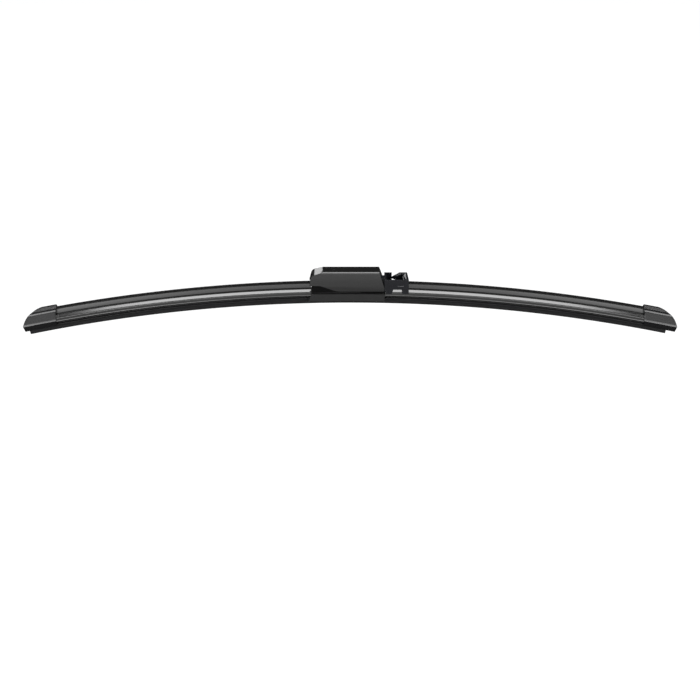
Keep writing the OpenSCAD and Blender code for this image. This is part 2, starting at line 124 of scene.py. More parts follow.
class WiperArch(bpy.types.PropertyGroup):
    """The arch that every long piece follows."""

    radius: length("Arch radius", 1371, "Radius of the arch at the wiping edge")
    pin_height: length("Pin height", 18.5, "Height of the rocker pin above the wiping edge")
    strip_height: length("Strip height", 10.3, "Height of the strips, along which lengths are measured")
    half_length: length("Half length", 300, "From mid-blade to a cap's tip, along the strips")
    steps: bpy.props.IntProperty(
        name="Steps", description="Segments of a swept piece along the whole arch", default=150,
        min=LEAST_STEPS,
    )


class WiperRubberSizes(bpy.types.PropertyGroup):
    """Cross-section of the wiping rubber."""

    edge: length("Wiping edge", 0.8, "Thickness of the wiping edge")
    lip_root: length("Lip root", 1.5, "Thickness of the lip where it meets the body")
    lip_height: length("Lip height", 3.4, "Height of the lip")
    body: length("Body", 5.2, "Width across the shoulders of the body")
    neck: length("Neck", 1.3, "Thickness of the neck that lets the lip flip over")
    head: length("Head", 6.0, "Width of the head between the claws")
    web: length("Web", 3.2, "Thickness of the web between the strips")
    short_left: length("Short of the left tip", 3.4, "From the left cap's tip to the rubber's end")
    short_right: length("Short of the right tip", 7.6, "From the right cap's tip to the rubber's end")
    rounding: length("Rounding", 0.12, "Radius of the rubber's edges")


class WiperSpoilerSizes(bpy.types.PropertyGroup):
    """Cross-section of the two spoiler extrusions."""

    height: length("Height", 22.1, "Height of the tip above the wiping edge")
    shoulder_height: length("Shoulder height", 15.0, "Height at which the fin rises")
    shoulder: length("Shoulder", 6.6, "Width across the shoulders")
    fin_neck: length("Fin neck", 4.0, "Width of the neck in the grooves below the fin")
    fin_root: length("Fin root", 4.8, "Width of the fin at its root, over the grooves")
    fin_side: length("Fin side", 3.2, "Width of the fin below the bevels at its tip")
    fin_bevel: length("Fin bevel", 2.3, "Height of the bevels at the fin's tip")
    fin_tip: length("Fin tip", 0.8, "Width of the fin's tip")
    claw_side: length("Claw side", 4.1, "Height of the claws' outer sides")
    claw_lean: length("Claw lean", 0.35, "How much the claws' sides lean in above their bead")
    shoulder_round: length("Shoulder rounding", 1.3, "Radius between claw sides and shoulders")
    claw: length("Claw", 0.7, "Thickness of a claw beside the strip")
    claw_foot: length("Claw foot", 0.65, "Thickness of a claw under the strip")
    claw_reach: length("Claw reach", 0.8, "How far a claw reaches in under the strip")
    strip: length("Strip width", 3.9, "Width of a spring strip")
    strip_thickness: length("Strip thickness", 0.9, "Thickness of a spring strip")
    seat: length("Seat gap", 0.1, "Gap between pieces that slide together")
    left_start: length("Left start", 35.2, "From the pin to the left spoiler, along the strips")
    right_start: length("Right start", 31.6, "From the pin to the right spoiler, along the strips")
    outer_end: length("Outer end", 277, "From the pin to a spoiler's end inside its cap")
    rounding: length("Rounding", 0.18, "Radius of the extrusion's edges")


class WiperMouldedSizes(bpy.types.PropertyGroup):
    """Edges of the moulded pieces, and what is brought out on them."""

    cap_rounding: length("Cap edges", 0.18, "Rounding of the end caps' edges")
    cover_rounding: length("Cover ends", 0.75, "Rounding of the edges round the cover's ends")
    cover_edge_rounding: length("Cover edges", 0.525, "Rounding of the cover's other edges")
    cover_facet_shift: length("Cover facets", 0.1, "How much wider the cover's slim top facets are made")
    box_rounding: length("Box edges", 0.26, "Rounding of the arm box's edges")
    ledge_out: length("Ledge", 0.3, "How far the ledge on the box's front is brought out")
    ledge_slope: length("Ledge slope", 0.35, "How far the top of that ledge slopes down")
    window_rise: length("Window", 1.0, "How far a corner of the lower back window is raised")
    base_rounding: length("Base edges", 0.25, "Rounding of the connector base's edges")
    cheek_foot_reach: length("Cheek foot", 1.0, "How far the foot of the ears' low walls is run on")
    cheek_top_reach: length("Cheek top", 1.9, "How far the top of the ears' low walls is run on")
    pin_rounding: length("Pin edges", 0.1, "Rounding of the rivet's edges")


class WiperColours(bpy.types.PropertyGroup):
    """Colours of the finishes."""

    rubber: colour("Rubber", 0x0D0D0E, "Graphite-coated rubber")
    strip: colour("Strips", 0x131314, "Black-coated spring steel")
    spoiler: colour("Spoiler", 0x090909, "Extruded elastomer")
    cap: colour("Caps", 0x0E0E0F, "Textured moulded plastic")
    base: colour("Base", 0x0C0C0C, "Satin moulded plastic")
    adapter: colour("Arm box", 0x0A0B0F, "Semi-gloss moulded plastic, faintly blue")
    cover: colour("Cover", 0x090909, "Semi-gloss moulded plastic")
    pin: colour("Pin", 0xC4C5C8, "Zinc-plated steel")
    floor: colour("Floor", 0xFBFBFB, "Pale studio floor and backdrop")


class WiperStudio(bpy.types.PropertyGroup):
    """Camera, lights and floor."""

    elevation: bpy.props.FloatProperty(
        name="Elevation", description="Height of the camera above the level",
        default=math.radians(25), subtype="ANGLE",
    )
    distance: length("Distance", 2000, "From the camera to the point it looks at")
    view_width: length("View width", 636.6, "Width that the picture shows at that distance")
    aim_below: length("Aim below", 43.15, "How far the middle of the picture lies under mid-blade")
    aim_right: length("Aim right", -0.1, "How far the middle of the picture lies to the right", -50)
    floor_drop: length("Floor drop", 230, "From the lowest point of the blade down to the floor")
    top_power: bpy.props.FloatProperty(
        name="Top light", description="Power of the softbox above", default=52.0, unit="POWER"
    )
    panel_power: bpy.props.FloatProperty(
        name="Rear panel", description="Power of the small light panel behind to the left",
        default=0.62, unit="POWER",
    )
    front_low: brightness("Front wall, foot", 5.6, "Strength of the front light wall at its foot")
    front_high: brightness("Front wall, head", 14.0, "Strength of the front light wall at its head")
    near_card: brightness("Near card", 0.04, "Strength of the graded card under the blade")
    far_card: brightness("Far card", 1.55, "Strength of the graded card far in front")
    dusk: brightness("Ceiling", 0.075, "Strength of the dim ceiling")
    floor_glow: brightness("Floor glow", 0.95, "Strength with which the floor shines in its own colour")


def add_node(tree, kind, settings=None, values=None, links=None):
    """Adds one node to a tree with its settings, socket values and incoming links."""
    node = tree.nodes.new(kind)
    for name, value in (settings or {}).items():
        setattr(node, name, value)
    for name, value in (values or {}).items():
        node.inputs[name].default_value = value
    for name, source in (links or {}).items():
        tree.links.new(source, node.inputs[name])
    return node


def new_material(name, base, roughness=0.5, ior=1.5, metallic=0.0):
    """A material with a Principled shader whose even values are on its own sockets."""
    material = bpy.data.materials.new(name)
    material.use_nodes = True
    tree = material.node_tree
    tree.nodes.clear()
    shader = add_node(tree, "ShaderNodeBsdfPrincipled", values={
        "Base Color": base, "Roughness": roughness, "IOR": ior, "Metallic": metallic,
    })
    add_node(tree, "ShaderNodeOutputMaterial", links={"Surface": shader.outputs["BSDF"]})
    return material, tree, shader


def object_place(tree):
    """Plain object coordinates, in metres."""
    return add_node(tree, "ShaderNodeTexCoord").outputs["Object"]


def arch_coordinates(tree):
    """Object coordinates unrolled from the arch: along it, across it and above it, in metres."""
    arch = bpy.context.scene.wiper_arch
    parts = add_node(tree, "ShaderNodeSeparateXYZ", links={0: object_place(tree)})
    above = add_node(tree, "ShaderNodeMath", {"operation": "ADD"},
                     {1: arch.radius + arch.pin_height}, {0: parts.outputs["Z"]})
    angle = add_node(tree, "ShaderNodeMath", {"operation": "ARCTAN2"},
                     links={0: parts.outputs["X"], 1: above.outputs[0]})
    along = add_node(tree, "ShaderNodeMath", {"operation": "MULTIPLY"}, {1: arch.radius},
                     {0: angle.outputs[0]})
    flat = add_node(tree, "ShaderNodeCombineXYZ",
                    links={"X": parts.outputs["X"], "Z": above.outputs[0]})
    reach = add_node(tree, "ShaderNodeVectorMath", {"operation": "LENGTH"}, links={0: flat.outputs[0]})
    height = add_node(tree, "ShaderNodeMath", {"operation": "SUBTRACT"}, {1: arch.radius},
                      {0: reach.outputs["Value"]})
    return add_node(tree, "ShaderNodeCombineXYZ", links={
        "X": along.outputs[0], "Y": parts.outputs["Y"], "Z": height.outputs[0],
    }).outputs[0]


def grain(tree, source, size_mm, stretch=(1, 1, 1), detail=3.0):
    """Noise whose lumps measure size_mm, drawn out by stretch along each axis."""
    scale = tuple(1.0 / (mm(size_mm) * s) for s in stretch)
    mapping = add_node(tree, "ShaderNodeMapping", values={"Scale": scale}, links={"Vector": source})
    return add_node(tree, "ShaderNodeTexNoise", values={"Scale": 1.0, "Detail": detail},
                    links={"Vector": mapping.outputs[0]}).outputs["Fac"]


def spread(tree, source, low, high):
    """Maps noise from its usual middle range to low..high."""
    return add_node(tree, "ShaderNodeMapRange", values={
        "From Min": 0.3, "From Max": 0.7, "To Min": low, "To Max": high,
    }, links={"Value": source}).outputs[0]


def shade(base, factor):
    """A colour made lighter or darker."""
    return tuple(min(1.0, c * factor) for c in base[:3]) + (1.0,)


def tint(tree, source, base, dark, light):
    """Mottles a colour by a pattern, between a darker and a lighter share of it."""
    return add_node(tree, "ShaderNodeMix", {"data_type": "RGBA"},
                    {"A": shade(base, dark), "B": shade(base, light)},
                    {"Factor": spread(tree, source, 0, 1)}).outputs["Result"]


def bump(tree, shader, height, depth_mm, strength=1.0):
    """Relief of a real depth under the shader."""
    relief = add_node(tree, "ShaderNodeBump", values={"Strength": strength, "Distance": mm(depth_mm)},
                      links={"Height": height})
    tree.links.new(relief.outputs[0], shader.inputs["Normal"])


def over_height(tree, height, start_mm, end_mm, low, high):
    """Goes evenly from low to high between two heights above the wiping edge."""
    return add_node(tree, "ShaderNodeMapRange", values={
        "From Min": mm(start_mm), "From Max": mm(end_mm), "To Min": low, "To Max": high,
    }, links={"Value": height}).outputs[0]


def graphited_rubber():
    """Natural rubber with a rubbed-on graphite coat: dull black with a grey bloom in streaks."""
    base = tuple(bpy.context.scene.wiper_colours.rubber)
    material, tree, shader = new_material("graphited_rubber", base, ior=1.42)
    # The streaks are about 0.1 mm wide, too fine to show, so they are drawn 0.5 mm wide.
    bloom = grain(tree, arch_coordinates(tree), size_mm=0.5, stretch=(24, 1, 1))
    tree.links.new(tint(tree, bloom, base, dark=0.7, light=1.6), shader.inputs["Base Color"])
    tree.links.new(spread(tree, bloom, low=0.42, high=0.58), shader.inputs["Roughness"])
    bump(tree, shader, bloom, depth_mm=0.02, strength=0.5)
    return material


def coated_spring_steel():
    """Spring steel with a thin black coat: smooth, with a faint orange peel."""
    base = tuple(bpy.context.scene.wiper_colours.strip)
    material, tree, shader = new_material("coated_spring_steel", base)
    peel = grain(tree, arch_coordinates(tree), size_mm=0.8)
    tree.links.new(spread(tree, peel, low=0.28, high=0.38), shader.inputs["Roughness"])
    bump(tree, shader, peel, depth_mm=0.01, strength=0.6)
    return material


def extruded_elastomer():
    """Thermoplastic elastomer from a die: satin black, with faint lines drawn along its length."""
    base = tuple(bpy.context.scene.wiper_colours.spoiler)
    material, tree, shader = new_material("extruded_elastomer", base, ior=1.51)
    place = arch_coordinates(tree)
    # The die's lines are about 0.1 mm apart, too fine to show, so they are drawn 0.35 mm apart.
    lines = grain(tree, place, size_mm=0.35, stretch=(180, 1, 1))
    cloud = grain(tree, place, size_mm=9.0, stretch=(3, 1, 1), detail=2.0)
    tree.links.new(tint(tree, cloud, base, dark=0.85, light=1.2), shader.inputs["Base Color"])
    tree.links.new(spread(tree, lines, low=0.15, high=0.21), shader.inputs["Roughness"])
    bump(tree, shader, lines, depth_mm=0.002, strength=0.3)
    return material


def textured_cap_plastic():
    """Polypropylene from a spark-eroded mould: an even fine grain, with ribs drawn along the ridge."""
    base = tuple(bpy.context.scene.wiper_colours.cap)
    material, tree, shader = new_material("textured_cap_plastic", base, ior=1.46)
    place = arch_coordinates(tree)
    # The eroded grain is about 0.1 mm, too fine to show, so it is drawn at 0.45 mm.
    texture = grain(tree, place, size_mm=0.45)
    tree.links.new(tint(tree, texture, base, dark=0.8, light=1.3), shader.inputs["Base Color"])
    tree.links.new(spread(tree, texture, low=0.23, high=0.3), shader.inputs["Roughness"])
    height = add_node(tree, "ShaderNodeSeparateXYZ", links={0: place}).outputs["Z"]
    rib_pitch = mm(0.8)
    turns = add_node(tree, "ShaderNodeMath", {"operation": "MULTIPLY"}, {1: 2 * math.pi / rib_pitch},
                     {0: height})
    wave = add_node(tree, "ShaderNodeMath", {"operation": "SINE"}, links={0: turns.outputs[0]})
    on_ridge = over_height(tree, height, start_mm=21.3, end_mm=21.5, low=0.0, high=1.0)
    ribs = add_node(tree, "ShaderNodeMath", {"operation": "MULTIPLY"},
                    links={0: wave.outputs[0], 1: on_ridge})
    # The ribs stand three times as high as the grain.
    relief = add_node(tree, "ShaderNodeMath", {"operation": "MULTIPLY_ADD"}, {1: 3.0},
                      {0: ribs.outputs[0], 2: texture})
    bump(tree, shader, relief.outputs[0], depth_mm=0.012)
    return material


def satin_base_plastic():
    """Glass-filled polyamide: satin, with a slight flow mottle; up under the cover its gloss is faded
    out as painted shade.
    """
    base = tuple(bpy.context.scene.wiper_colours.base)
    material, tree, shader = new_material("satin_base_plastic", base)
    place = arch_coordinates(tree)
    # The mould's grain is about 0.1 mm, too fine to show, so it is drawn at 0.4 mm.
    texture = grain(tree, place, size_mm=0.4)
    flow = grain(tree, place, size_mm=5.0, stretch=(2, 1, 1))
    tree.links.new(tint(tree, flow, base, dark=0.85, light=1.25), shader.inputs["Base Color"])
    tree.links.new(spread(tree, texture, low=0.27, high=0.34), shader.inputs["Roughness"])
    height = add_node(tree, "ShaderNodeSeparateXYZ", links={0: place}).outputs["Z"]
    # Painted shade: above the base's top the gloss fades to almost nothing, so the ears' walls under the
    # cover look black as if in deep shade.
    painted_shade_under_cover = over_height(tree, height, start_mm=12.75, end_mm=13.1, low=0.5, high=0.03)
    tree.links.new(painted_shade_under_cover, shader.inputs["Specular IOR Level"])
    bump(tree, shader, texture, depth_mm=0.012, strength=0.5)
    return material


def arm_box_acetal():
    """Acetal: a dense blue-black plastic with a waxy half gloss."""
    base = tuple(bpy.context.scene.wiper_colours.adapter)
    material, tree, shader = new_material("arm_box_acetal", base, ior=1.4)
    place = object_place(tree)
    # The mould's grain is about 0.1 mm, too fine to show, so it is drawn at 0.5 mm.
    texture = grain(tree, place, size_mm=0.5)
    flow = grain(tree, place, size_mm=6.0)
    tree.links.new(tint(tree, flow, base, dark=0.85, light=1.2), shader.inputs["Base Color"])
    tree.links.new(spread(tree, texture, low=0.21, high=0.28), shader.inputs["Roughness"])
    bump(tree, shader, texture, depth_mm=0.015, strength=0.5)
    return material


def semi_gloss_cover_plastic():
    """ABS from a fine-blasted mould: half gloss, with very fine grain."""
    base = tuple(bpy.context.scene.wiper_colours.cover)
    material, tree, shader = new_material("semi_gloss_cover_plastic", base, ior=1.41)
    place = object_place(tree)
    # The blasted grain is about 0.05 mm, too fine to show, so it is drawn at 0.35 mm.
    texture = grain(tree, place, size_mm=0.35)
    flow = grain(tree, place, size_mm=8.0, stretch=(2, 1, 1))
    tree.links.new(tint(tree, flow, base, dark=0.85, light=1.2), shader.inputs["Base Color"])
    tree.links.new(spread(tree, texture, low=0.13, high=0.17), shader.inputs["Roughness"])
    bump(tree, shader, texture, depth_mm=0.008, strength=0.4)
    return material


def zinc_plated_steel():
    """Zinc-plated steel: pale grey metal, drawn along the pin."""
    base = tuple(bpy.context.scene.wiper_colours.pin)
    material, tree, shader = new_material("zinc_plated_steel", base, metallic=1.0)
    streaks = grain(tree, object_place(tree), size_mm=0.15, stretch=(1, 30, 1))
    tree.links.new(spread(tree, streaks, low=0.24, high=0.38), shader.inputs["Roughness"])
    bump(tree, shader, streaks, depth_mm=0.004, strength=0.5)
    return material


MATERIALS = {
    "graphited_rubber": graphited_rubber,
    "coated_spring_steel": coated_spring_steel,
    "spoiler_elastomer": extruded_elastomer,
    "cap_plastic": textured_cap_plastic,
    "base_plastic": satin_base_plastic,
    "pin_steel": zinc_plated_steel,
    "adapter_plastic": arm_box_acetal,
    "cover_plastic": semi_gloss_cover_plastic,
}


def finish_for(slot_name):
    """The material of a slot of the record, made once."""
    maker = MATERIALS[slot_name]
    for material in bpy.data.materials:
        if material.get("slot") == slot_name:
            return material
    material = maker()
    material["slot"] = slot_name
    return material


def plain_object(name, mesh):
    """An object at the origin for a mesh that is already in place."""
    piece = bpy.data.objects.new(name, mesh)
    bpy.context.scene.collection.objects.link(piece)
    return piece


def stand_for(piece, node, body):
    """Lets a finished piece take the place of its solid."""
    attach(piece, body)
    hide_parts(node)


def made_plain(name, worked):
    """A new object with the result of another's modifiers, which is then deleted."""
    graph = bpy.context.evaluated_depsgraph_get()
    mesh = bpy.data.meshes.new_from_object(worked.evaluated_get(graph))
    mesh.name = name
    source = worked.data
    bpy.data.objects.remove(worked)
    if source.users == 0:
        bpy.data.meshes.remove(source)
    return plain_object(name, mesh)


def whole_share(_edge):
    """The share of a piece's rounding that its edges get where none of them differs."""
    return 1.0


def mark_edges(build, crease_from, share):
    """Weights the outer edges for rounding, and keeps other turns of crease_from or more sharp."""
    weight = build.edges.layers.float.new("bevel_weight_edge")
    for edge in build.edges:
        if not edge.is_manifold:
            continue
        turn = edge.calc_face_angle()
        rounded = turn > ROUNDED_FROM and edge.is_convex
        edge[weight] = share(edge) if rounded else 0.0
        edge.smooth = rounded or turn < crease_from


def merged_copy(node, reshape):
    """A working copy of a solid's mesh, its triangles merged into flat faces and its points moved."""
    build = bmesh.new()
    build.from_mesh(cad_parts[node].data)
    bmesh.ops.remove_doubles(build, verts=build.verts, dist=SAME_IN_SOLID)
    bmesh.ops.dissolve_limit(build, angle_limit=FLAT_WITHIN, verts=build.verts, edges=build.edges)
    if reshape:
        for vert in build.verts:
            reshape(vert.co)
    build.normal_update()
    return build


def moulded_copy(node, name, rounding, slot_name, segments=ROUNDING_SEGMENTS,
                 crease_from=ROUNDED_FROM, reshape=None, share=whole_share):
    """A solid's copy with its outer edges rounded, each by its share of the piece's rounding."""
    build = merged_copy(node, reshape)
    mark_edges(build, crease_from, share)
    mesh = bpy.data.meshes.new(name + "_blank")
    build.to_mesh(mesh)
    build.free()
    mesh.materials.append(finish_for(slot_name))
    for polygon in mesh.polygons:
        polygon.material_index = 0
        polygon.use_smooth = True
    piece = plain_object(name + "_blank", mesh)
    bevel = piece.modifiers.new("Rounded edges", "BEVEL")
    bevel.width = rounding
    bevel.segments = segments
    bevel.limit_method = "WEIGHT"
    bevel.use_clamp_overlap = True
    bevel.miter_outer = "MITER_ARC"
    weld = piece.modifiers.new("Closed corners", "WELD")
    weld.merge_threshold = SAME_IN_ROUNDING
    weigh = piece.modifiers.new("Flat faces", "WEIGHTED_NORMAL")
    weigh.mode = "FACE_AREA_WITH_ANGLE"
    weigh.weight = LARGE_FACE_WEIGHT
    weigh.keep_sharp = True
    return made_plain(name, piece)


def both_sides(half):
    """An outline that is the same on each side of the middle."""
    return half + [(-across, up) for across, up in reversed(half)]


def wire(name, outline):
    """A closed wire of an outline, drawn across and up."""
    mesh = bpy.data.meshes.new(name)
    count = len(outline)
    mesh.from_pydata([(across, up, 0.0) for across, up in outline],
                     [(i, (i + 1) % count) for i in range(count)], [])
    return plain_object(name, mesh)


def input_socket(tree, name, kind, default=None):
    """A named input of a geometry tree."""
    socket = tree.interface.new_socket(name, in_out="INPUT", socket_type=kind)
    if default is not None:
        socket.default_value = default
    return socket


def sweep_tree():
    """Geometry Nodes: rounds a closed section and sweeps it along the arch."""
    found = bpy.data.node_groups.get("Sweep along the arch")
    if found:
        return found
    arch = bpy.context.scene.wiper_arch
    tree = bpy.data.node_groups.new("Sweep along the arch", "GeometryNodeTree")
    input_socket(tree, "Section", "NodeSocketGeometry")
    input_socket(tree, "Arch radius", "NodeSocketFloat", arch.radius)
    input_socket(tree, "Centre height", "NodeSocketFloat", -arch.radius - arch.pin_height)
    input_socket(tree, "Start angle", "NodeSocketFloat")
    input_socket(tree, "Sweep angle", "NodeSocketFloat")
    input_socket(tree, "Steps", "NodeSocketInt", arch.steps)
    input_socket(tree, "Rounding", "NodeSocketFloat")
    input_socket(tree, "Material", "NodeSocketMaterial")
    tree.interface.new_socket("Geometry", in_out="OUTPUT", socket_type="NodeSocketGeometry")
    given = add_node(tree, "NodeGroupInput").outputs
    path = add_node(tree, "GeometryNodeCurveArc", links={
        "Resolution": given["Steps"], "Radius": given["Arch radius"],
        "Start Angle": given["Start angle"], "Sweep Angle": given["Sweep angle"],
    })
    lift = add_node(tree, "ShaderNodeCombineXYZ", links={"Z": given["Centre height"]})
    upright = add_node(tree, "GeometryNodeTransform", values={"Rotation": (math.radians(90), 0, 0)},
                       links={"Geometry": path.outputs["Curve"], "Translation": lift.outputs[0]})
    turned = add_node(tree, "GeometryNodeTransform", values={"Rotation": (0, 0, math.pi)},
                      links={"Geometry": given["Section"]})
    section = add_node(tree, "GeometryNodeMeshToCurve", links={"Mesh": turned.outputs["Geometry"]})
    rounded = add_node(tree, "GeometryNodeFilletCurve", {"mode": "POLY"},
                       {"Count": ROUNDING_SEGMENTS, "Limit Radius": True},
                       {"Curve": section.outputs["Curve"], "Radius": given["Rounding"]})
    swept = add_node(tree, "GeometryNodeCurveToMesh", values={"Fill Caps": True}, links={
        "Curve": upright.outputs["Geometry"], "Profile Curve": rounded.outputs["Curve"],
    })
    smooth = add_node(tree, "GeometryNodeSetShadeSmooth", links={"Geometry": swept.outputs["Mesh"]})
    real = add_node(tree, "GeometryNodeRealizeInstances",
                    links={"Geometry": smooth.outputs["Geometry"]})
    dressed = add_node(tree, "GeometryNodeSetMaterial",
                       links={"Geometry": real.outputs["Geometry"], "Material": given["Material"]})
    add_node(tree, "NodeGroupOutput", links={"Geometry": dressed.outputs["Geometry"]})
    return tree


def set_inputs(modifier, values):
    """Sets a modifier's inputs by their sockets' identifiers."""
    for item in modifier.node_group.interface.items_tree:
        if item.item_type == "SOCKET" and item.in_out == "INPUT" and item.name in values:
            modifier[item.identifier] = values[item.name]


def close_up(mesh):
    """Merges doubles, turns the faces outwards and keeps sharp turns sharp."""
    build = bmesh.new()
    build.from_mesh(mesh)
    bmesh.ops.remove_doubles(build, verts=build.verts, dist=SAME_IN_SWEEP)
    bmesh.ops.recalc_face_normals(build, faces=build.faces)
    build.to_mesh(mesh)
    build.free()
    mesh.set_sharp_from_angle(angle=SWEPT_CREASE)


def sweep(name, outline, start, end, rounding, slot_name):
    """Sweeps a section from one place along the strips to another."""
    arch = bpy.context.scene.wiper_arch
    strips_radius = arch.radius + arch.strip_height
    piece = wire(name + "_section", outline)
    modifier = piece.modifiers.new("Sweep", "NODES")
    modifier.node_group = sweep_tree()
    set_inputs(modifier, {
        "Start angle": math.pi / 2 - end / strips_radius,
        "Sweep angle": (end - start) / strips_radius,
        "Steps": max(LEAST_STEPS, round(arch.steps * (end - start) / (2 * arch.half_length))),
        "Rounding": rounding,
        "Material": finish_for(slot_name),
    })
    piece = made_plain(name, piece)
    close_up(piece.data)
    return piece


def rubber_outline():
    """Section of the wiping rubber: lip, body, neck and head."""
    scene = bpy.context.scene
    size = scene.wiper_rubber
    spoiler = scene.wiper_spoiler
    strips = scene.wiper_arch.strip_height
    under_strip = strips - spoiler.strip_thickness / 2 - spoiler.seat
    over_strip = strips + spoiler.strip_thickness / 2 + spoiler.seat
    shoulder_low = size.lip_height + mm(1.2)
    shoulder_top = shoulder_low + mm(1)
    body_top = shoulder_top + mm(0.6)
    body_low_half = size.body / 2 - mm(0.2)
    body_top_half = size.body / 2 - mm(0.7)
    head_low = under_strip - mm(1.4)
    head_top = over_strip + mm(0.9)
    head_top_half = size.head / 2 - mm(0.4)
    bevel = mm(0.4)
    neck_blend = mm(0.2)
    return both_sides([
        (size.edge / 2, 0),
        (size.lip_root / 2, size.lip_height),
        (body_low_half, shoulder_low),
        (size.body / 2, shoulder_top),
        (body_top_half, body_top),
        (size.neck / 2, body_top + neck_blend),
        (size.neck / 2, head_low - neck_blend),
        (size.head / 2, head_low),
        (size.head / 2, under_strip),
        (size.web / 2, under_strip),
        (size.web / 2, over_strip),
        (head_top_half, over_strip),
        (head_top_half - bevel, head_top),
    ])


def corner_arc(before, corner, after, radius, steps=5):
    """Points of the arc that rounds a corner between two straight stretches."""
    corner = Vector(corner)
    back = (Vector(before) - corner).normalized()
    on = (Vector(after) - corner).normalized()
    half = back.angle(on) / 2
    middle = corner + (back + on).normalized() * radius / math.sin(half)
    first = corner + back * radius / math.tan(half) - middle
    turn = first.angle_signed(corner + on * radius / math.tan(half) - middle)
    start = math.atan2(first.y, first.x)
    angles = [start - turn * i / steps for i in range(steps + 1)]
    return [(middle.x + radius * math.cos(a), middle.y + radius * math.sin(a)) for a in angles]


def spoiler_outline():
    """Section of the spoiler: fin, shoulders, claws and the channel inside."""
    scene = bpy.context.scene
    size = scene.wiper_spoiler
    strips = scene.wiper_arch.strip_height
    under_strip = strips - size.strip_thickness / 2 - size.seat
    over_strip = strips + size.strip_thickness / 2 + size.seat
    strip_out = scene.wiper_rubber.web / 2 + size.seat + size.strip
    slot_out = strip_out + size.seat
    claw_out = slot_out + size.claw
    claw_in = strip_out - size.claw_reach
    claw_low = under_strip - size.claw_foot
    claw_top = claw_low + size.claw_side
    bead_foot = (claw_out - mm(0.2), claw_low)
    bead_top = (claw_out, claw_low + mm(1))
    bead_end = (claw_out - mm(0.15), claw_low + mm(1.4))
    groove_floor = size.shoulder_height + mm(0.1)
    groove_top = size.shoulder_height + mm(1.4)
    shoulder = (size.shoulder / 2, size.shoulder_height)
    outside = [
        bead_foot,
        bead_top,
        bead_end,
        *corner_arc(bead_end, (claw_out - size.claw_lean, claw_top), shoulder, size.shoulder_round),
        shoulder,
        (size.fin_neck / 2, groove_floor),
        (size.fin_root / 2, groove_top),
        (size.fin_side / 2, size.height - size.fin_bevel),
        (size.fin_tip / 2, size.height),
    ]
    head_room = slot_out - mm(0.7)
    claw_roof = claw_top - mm(0.8)
    under_shoulder = (size.shoulder / 2 - mm(0.9), size.shoulder_height - mm(1.2))
    in_neck = (size.fin_neck / 2 - mm(1), groove_floor)
    in_fin_root = (size.fin_neck / 2 - mm(1.2), size.shoulder_height + mm(1.6))
    in_fin_tip = (mm(0.3), size.height - mm(3.3))
    channel = [
        (claw_in, claw_low),
        (claw_in, under_strip),
        (slot_out, under_strip),
        (slot_out, over_strip),
        (head_room, over_strip),
        (head_room, claw_roof),
        under_shoulder,
        in_neck,
        in_fin_root,
        in_fin_tip,
    ]
    return both_sides(outside) + both_sides(channel)[::-1]


class WIPER_OT_rubber(bpy.types.Operator):
    """Sweep the wiping rubber along the arch"""

    bl_idname = "wiper.rubber"
    bl_label = "Wiping rubber"

    def execute(self, context):
        arch = context.scene.wiper_arch
        size = context.scene.wiper_rubber
        piece = sweep("wiping_rubber", rubber_outline(), -arch.half_length + size.short_left,
                      arch.half_length - size.short_right, size.rounding, "graphited_rubber")
        stand_for(piece, "wiper_rubber", BLADE)
        return {"FINISHED"}


def dress_solid(node, slot_name):
    """Gives a solid that is shown as it is the material of its slot."""
    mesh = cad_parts[node].data
    mesh.materials.clear()
    mesh.materials.append(finish_for(slot_name))


class WIPER_OT_strips(bpy.types.Operator):
    """Give the two spring strips their coat"""

    bl_idname = "wiper.strips"
    bl_label = "Spring strips"

    def execute(self, context):
        for node in ("spring_strip_front", "spring_strip_rear"):
            dress_solid(node, "coated_spring_steel")
        return {"FINISHED"}


class WIPER_OT_spoilers(bpy.types.Operator):
    """Sweep the two spoiler extrusions along the arch"""

    bl_idname = "wiper.spoilers"
    bl_label = "Spoilers"

    def execute(self, context):
        size = context.scene.wiper_spoiler
        spans = {
            "left": (-size.outer_end, -size.left_start),
            "right": (size.right_start, size.outer_end),
        }
        for side, (start, end) in spans.items():
            piece = sweep(f"spoiler_{side}_extrusion", spoiler_outline(), start, end,
                          size.rounding, "spoiler_elastomer")
            stand_for(piece, f"spoiler_{side}", BLADE)
        return {"FINISHED"}


class WIPER_OT_end_caps(bpy.types.Operator):
    """Round and finish the two end caps"""

    bl_idname = "wiper.end_caps"
    bl_label = "End caps"

    def execute(self, context):
        rounding = context.scene.wiper_moulded.cap_rounding
        for side in ("left", "right"):
            piece = moulded_copy(f"end_cap_{side}", f"cap_{side}", rounding, "cap_plastic")
            stand_for(piece, f"end_cap_{side}", BLADE)
        return {"FINISHED"}


def reach_cheeks(place):
    """Runs the ears' low walls on to the left until their ends stand over the base's end."""
    size = bpy.context.scene.wiper_moulded
    foot, top = mm(-6.7), mm(-0.3)
    in_wall = mm(4.1) < abs(place.y) < mm(6.5)
    at_end = place.x < mm(-32.9) and place.z > foot
    if in_wall and at_end:
        rise = (place.z - foot) / (top - foot)
        place.x -= size.cheek_foot_reach + (size.cheek_top_reach - size.cheek_foot_reach) * rise


class WIPER_OT_base(bpy.types.Operator):
    """Round and finish the connector base with its ears"""

    bl_idname = "wiper.base"
    bl_label = "Connector base"

    def execute(self, context):
        rounding = context.scene.wiper_moulded.base_rounding
        piece = moulded_copy("connector_base", "base_with_ears", rounding, "base_plastic",
                             reshape=reach_cheeks)
        stand_for(piece, "connector_base", BLADE)
        return {"FINISHED"}


class WIPER_OT_pin(bpy.types.Operator):
    """Round and finish the rivet on which the connector rocks"""

    bl_idname = "wiper.pin"
    bl_label = "Rocker pin"

    def execute(self, context):
        rounding = context.scene.wiper_moulded.pin_rounding
        piece = moulded_copy("rocker_pin", "rivet", rounding, "pin_steel", segments=2)
        stand_for(piece, "rocker_pin", BLADE)
        return {"FINISHED"}


